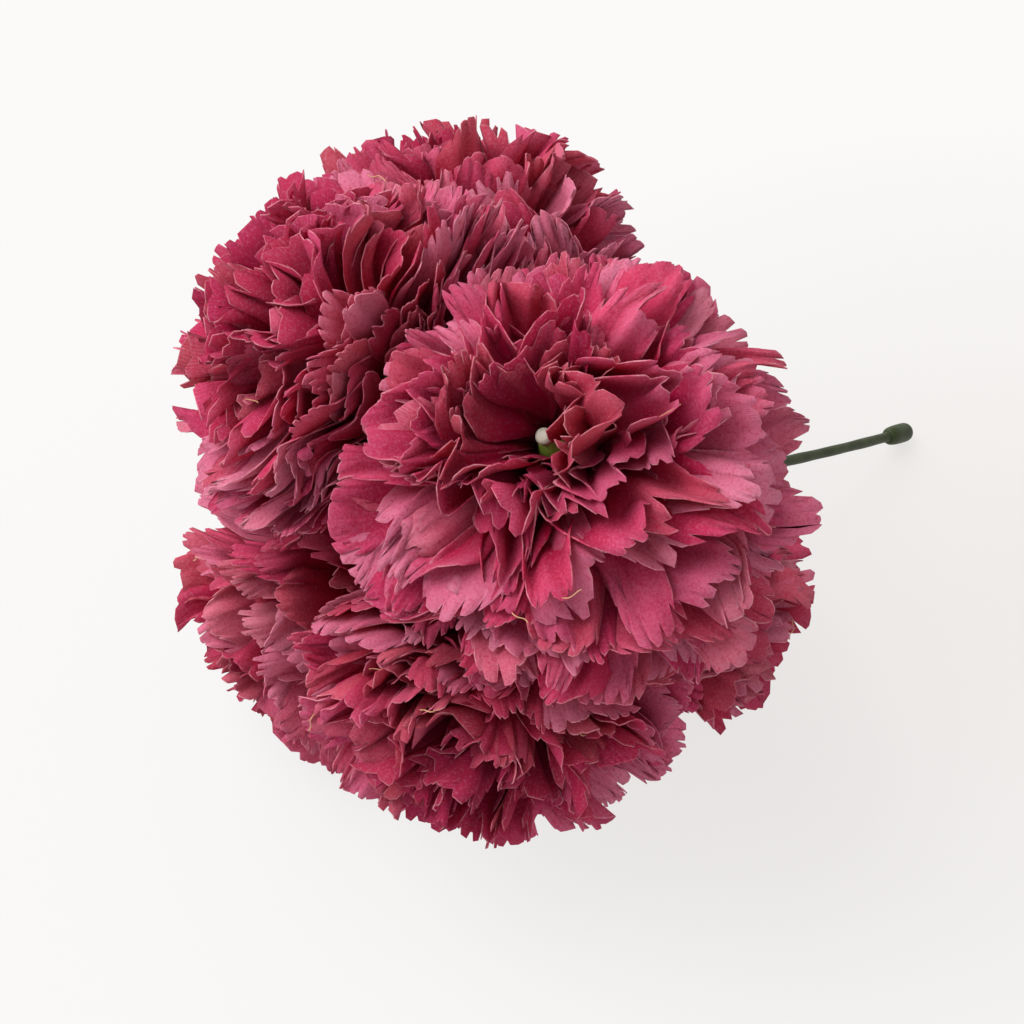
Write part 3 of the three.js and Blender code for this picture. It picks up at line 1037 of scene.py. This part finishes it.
    def free_points(self, seed: Array, opening: Array, turn: Array, along: Array,
                    across: Array) -> tuple[Array, Array]:
        """The middle surface of each petal before it is settled among its neighbours.

        Args:
            seed: A number for each petal.
            opening: How far each petal opens from the way the head faces.
            turn: Where each petal stands round the peg.
            along: The distance along each petal.
            across: The distance across, from -1 to 1.

        Returns:
            The points in the head's own directions, and the half width at each.
        """
        outer = smooth(opening, *self.outer_from_by)
        height = self.seat - self.seat_drop * (opening - 0.17) \
            + self.seat_rise * (1 - smooth(opening, 0.2, 0.45))
        right, up, _ = self.head.inward(self.head.parted)
        beside = right * np.cos(turn) + up * np.sin(turn)
        given_way = smooth(beside, -0.1, 0.5) * (1 - smooth(opening, *self.give_way_from_by))
        stray = np.radians(Draw.BEND.of(seed))
        bend = opening + stray * (1 - 0.6 * given_way) + 0.05 * given_way
        tip = self.tips(seed, bend, turn) * (1 - self.give_way * given_way)
        lean = bend * Draw.LEAN.of(seed)
        knee_out = KNEE * tip * np.sin(lean)
        knee_up = KNEE * tip * np.cos(lean)
        rest, drawn = 1 - along, along ** 2 * tip
        out = PETAL_START * rest ** 2 + 2 * rest * along * knee_out + drawn * np.sin(bend)
        high = height * rest ** 2 + 2 * rest * along * knee_up + drawn * np.cos(bend)
        way_out = (knee_out - PETAL_START) * rest + (tip * np.sin(bend) - knee_out) * along
        way_up = (knee_up - height) * rest + (tip * np.cos(bend) - knee_up) * along
        size = np.maximum(np.hypot(way_out, way_up), 1e-6)
        way_out, way_up = way_out / size, way_up / size
        width = (self.half_width - self.narrower_outside * outer) * Draw.WIDTH.of(seed) \
            * (self.root_width + (1 - self.root_width) * smooth(along, 0.08, 0.82))
        lift = self.lift(seed, outer, along, across)
        nearest = 1.2 + 0.5 * out * (1 - smooth(opening, 0.3, 0.6))
        out_now = np.maximum(out - way_up * lift, nearest)
        sideways = width * across
        twist = Draw.TWIST.of(seed) * (1 - given_way) * along ** 2
        wrapped = turn + WRAP * sideways / (out + 5) + twist
        flat = (1 - WRAP) * sideways
        return np.stack([
            out_now * np.cos(wrapped) - flat * np.sin(wrapped),
            out_now * np.sin(wrapped) + flat * np.cos(wrapped),
            high + way_out * lift,
        ], axis=-1), width

    def tips(self, seed: Array, bend: Array, turn: Array) -> Array:
        """How far from the base each petal's tip is, with the head's swell.

        Args:
            seed: A number for each petal.
            bend: How far each petal's tip opens.
            turn: Where each petal stands round the peg.

        Returns:
            The distance for each petal.
        """
        reach = self.head.radius * Draw.REACH.of(seed)
        right, up, ahead = self.head.inward(self.head.swell)
        return tip_distance(reach, bend) + ahead * np.cos(bend) \
            + np.sin(bend) * (right * np.cos(turn) + up * np.sin(turn))

    def lift(self, seed: Array, outer: Array, along: Array, across: Array) -> Array:
        """How far the cloth stands off the petal's middle line: ruffled, cupped and curled.

        Args:
            seed: A number for each petal.
            outer: 0 for the petals in the middle of the head, 1 for those at its side.
            along: The distance along each petal.
            across: The distance across, from -1 to 1.

        Returns:
            The distance for each point.
        """
        phase = Draw.PHASE.of(seed)
        broad = Draw.WAVES.of(seed) * math.pi * across + phase
        fine = Draw.FINE_WAVES.of(seed) * math.pi * across + 2.3 * phase + 3 * along
        rim = Draw.RIM_WAVES.of(seed) * math.pi * across + 4.1 * phase
        strength = self.ruffle * Draw.RUFFLE.of(seed) * (1.3 - 0.65 * outer)
        waves = strength * along ** 2 * np.sin(broad)
        waves += self.fine_share * strength * along ** 3 * np.sin(fine)
        waves += self.rim_ripple * along ** 4 * np.sin(rim)
        least, most = 0.1 - 1.3 * outer, 1.6 - 0.9 * outer
        cupped = least + (most - least) * Draw.CUPPED.of(seed)
        curl = Draw.CURL.of(seed) - self.curl_back * outer
        return Draw.SKEW.of(seed) * across * along \
            + (self.cup - self.cup_less_outside * outer) * cupped * across ** 2 * along \
            + waves + curl * np.maximum(along - 0.5, 0) ** 2

    def blade_faces(self, rows: int, steps: int) -> Array:
        """The faces of a closed blade: its face, its back and the cut edge all round.

        Args:
            rows: How many rows of points it has.
            steps: How many points a row has.

        Returns:
            Four point numbers a face.
        """
        count = rows * steps
        grid = np.arange(count).reshape(rows, steps)
        a, b, c, d = grid[:-1, :-1], grid[1:, :-1], grid[1:, 1:], grid[:-1, 1:]
        front = np.stack([a, b, c, d], axis=-1).reshape(-1, 4)
        back = front[:, ::-1] + count
        border = np.concatenate([grid[:, 0], grid[-1, 1:], grid[-2::-1, -1], grid[0, -2:0:-1]])
        after = np.roll(border, -1)
        edge = np.stack([after, border, border + count, after + count], axis=1)
        return np.concatenate([front, back, edge])


@dataclass
class Cup:
    """The moulded green cup under a head, with pointed lobes round its mouth."""

    head: Head
    length: float = CUP_LENGTH
    mouth: float = 6.4
    foot: float = 3.2
    lobes: int = 5
    lobe_depth: float = 1.4
    rib: float = 0.22

    def build(self, plastic: Material) -> bpy.types.Object:
        """Makes the cup.

        Args:
            plastic: Its material.

        Returns:
            The cup.
        """
        top = PEG_BOTTOM - GAP
        steps = np.linspace(0, 1, 14)
        radius = self.foot + (self.mouth - self.foot) * smooth(steps, -0.25, 0.85)
        radius[0] -= 0.5
        profile = np.concatenate([
            [[0, top - self.length]],
            np.stack([radius, top - self.length * (1 - steps)], axis=1),
            [[self.mouth - 1.2, top], [0, top - 1.0]],
        ])
        points, quads = turned(profile, 40)
        angle = np.arctan2(points[:, 1], points[:, 0])
        outwards = np.hypot(points[:, 0], points[:, 1])
        rib = self.rib * np.cos(self.lobes * 2 * angle) * outwards / self.mouth
        near_mouth = smooth(points[:, 2], top - 3, top)
        swell = 1 + (rib - 0.2) / self.mouth
        points[:, :2] *= swell[:, None]
        lobes = 0.5 - 0.5 * np.cos(self.lobes * angle)
        points[:, 2] -= near_mouth * self.lobe_depth * lobes
        shell = Shell(f"cup_{self.head.name}")
        shell.add(self.head.placed(points), quads)
        return shell.build([plastic], Slot.CALYX, f"calyx_{self.head.name}")


@dataclass
class Stud:
    """The pale stud on the end of a peg, down in the hollow of the head."""

    head: Head
    radius: float = 1.6
    bottom: float = 24.3
    height: float = 2.6

    def build(self, plastic: Material) -> bpy.types.Object:
        """Makes the stud.

        Args:
            plastic: Its material.

        Returns:
            The stud.
        """
        shape = np.array([[0, 0], [0.74, 0], [0.82, 0.08], [0.94, 0.35], [1, 0.55], [0.93, 0.72],
                          [0.72, 0.88], [0.4, 0.97], [0, 1]])
        points, quads = turned(shape * [self.radius, self.height] + [0, self.bottom], 24)
        shell = Shell(f"peg_stud_{self.head.name}")
        shell.add(self.head.placed(points), quads)
        return shell.build([plastic], Slot.STUD, f"stud_{self.head.name}")


@dataclass
class Stem:
    """The covered wire, its thicker blunt end, the knot and a branch to every cup."""

    butt_radius: float = 2.4
    butt_length: float = 10.0
    steps: int = 60
    branch_steps: int = 24

    def build(self, plastic: Material) -> bpy.types.Object:
        """Makes the wire.

        Args:
            plastic: Its material.

        Returns:
            The wire.
        """
        shell = Shell("covered_wire")
        hub, end = np.array(HUB), np.array(STEM_END)
        path = curved(hub, np.array(STEM_LEAD), end, self.steps)
        along = np.linspace(0, 1, self.steps)
        radii = WIRE_RADIUS * (1 + 0.03 * np.sin(along * 61) + 0.02 * np.sin(along * 23))
        shell.add(*tube(path, radii, 20))
        way = unit(path[-1] - path[-2])
        shape = np.array([[0, 0.58], [0.04, 0.72], [0.14, 0.9], [0.3, 0.97], [0.6, 1.0],
                          [0.9, 0.99], [0.97, 0.95], [1.0, 0.84]])
        butt = end - way * self.butt_length * (1 - shape[:, :1])
        shell.add(*tube(butt, shape[:, 1] * self.butt_radius, 28))
        ball = np.linspace(0, math.pi, 14)
        knot = np.stack([np.sin(ball), -np.cos(ball)], axis=1) * KNOT_RADIUS
        points, quads = turned(knot, 24)
        shell.add(points + hub, quads)
        depth = PEG_BOTTOM - GAP - CUP_LENGTH - GAP
        for head in HEADS:
            tip = head.base + head.axis * depth
            half = np.linalg.norm(tip - hub) / 2
            branch = curved(hub, tip - head.axis * half, tip, self.branch_steps)
            shell.add(*tube(branch, np.full(self.branch_steps, BRANCH_RADIUS), 16))
        return shell.build([plastic], Slot.STEM, "wire_stem")


@dataclass
class Studio:
    """The pale surface, the soft light and the camera."""

    aim: Place = (64.1, 32.1, 100.7)
    eye: Place = (260.0, 262.0, 392.5)
    lens: float = 82.69
    sensor: float = 36.0
    floor_half: float = 6.0
    room_colour: Colour = (1.0, 0.985, 0.975, 1.0)
    room_strength: float = 0.68
    lamps: tuple[tuple[str, Place, float, float], ...] = (
        ("left_lamp", (1.5, -1.1, 2.6), 50.0, 3.2),
        ("far_lamp", (-0.7, -2.2, 1.3), 45.0, 1.0),
    )

    def build(self) -> None:
        """Lays the surface, hangs the light and sets the camera."""
        bpy.context.scene.view_settings.view_transform = "Standard"
        self.lay_floor()
        self.light()
        self.stand_camera()

    def lay_floor(self) -> None:
        """Makes the surface the bunch lies on."""
        size = self.floor_half
        corners = [(-size, -size, 0), (size, -size, 0), (size, size, 0), (-size, size, 0)]
        mesh = bpy.data.meshes.new("pale_floor")
        mesh.from_pydata(corners, [], [(0, 1, 2, 3)])
        floor = bpy.data.objects.new("pale_floor", mesh)
        bpy.context.scene.collection.objects.link(floor)
        mesh.materials.append(FloorFinish().make())

    def light(self) -> None:
        """A bright soft room, one broad lamp above on the left and a weaker one behind."""
        world = bpy.data.worlds.new("soft_room")
        bpy.context.scene.world = world
        world.use_nodes = True
        room = world.node_tree.nodes["Background"]
        room.inputs["Color"].default_value = self.room_colour
        room.inputs["Strength"].default_value = self.room_strength
        for lamp in self.lamps:
            self.hang(*lamp)

    def hang(self, name: str, place: Place, spread_by: float, power: float) -> None:
        """Hangs one broad lamp, far enough off to light the surface evenly.

        Args:
            name: Its name.
            place: The side it shines from.
            spread_by: How broad it looks from the bunch, in degrees.
            power: Its strength in watts a square metre.
        """
        data = bpy.data.lights.new(name, "SUN")
        data.angle = math.radians(spread_by)
        data.energy = power
        lamp = bpy.data.objects.new(name, data)
        lamp.location = place
        lamp.rotation_euler = (-Vector(place)).to_track_quat("-Z", "Y").to_euler()
        bpy.context.scene.collection.objects.link(lamp)

    def stand_camera(self) -> None:
        """Sets the camera at the photograph's angle."""
        data = bpy.data.cameras.new("camera")
        data.lens = self.lens
        data.sensor_width = self.sensor
        data.clip_start, data.clip_end = 0.01, 50.0
        camera = bpy.data.objects.new("camera", data)
        eye, aim = Vector(self.eye) * MM, Vector(self.aim) * MM
        camera.location = eye
        camera.rotation_euler = (aim - eye).to_track_quat("-Z", "Y").to_euler()
        bpy.context.scene.collection.objects.link(camera)
        bpy.context.scene.camera = camera


def write_size() -> None:
    """Updates the view layer."""
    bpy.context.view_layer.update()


def main() -> None:
    """Builds the bunch, then the studio."""
    cloth, thread = PetalFinish().make(), ThreadFinish().make()
    green, lime = CALYX_PLASTIC.make(), PEG_PLASTIC.make()
    pale, covering = STUD_PLASTIC.make(), STEM_PLASTIC.make()
    for number, head in enumerate(HEADS):
        Bloom(head, number).build([cloth, lime, thread])
        Cup(head).build(green)
        Stud(head).build(pale)
    Stem().build(covering)
    Studio().build()
    write_size()


if __name__ == "__main__":
    main()
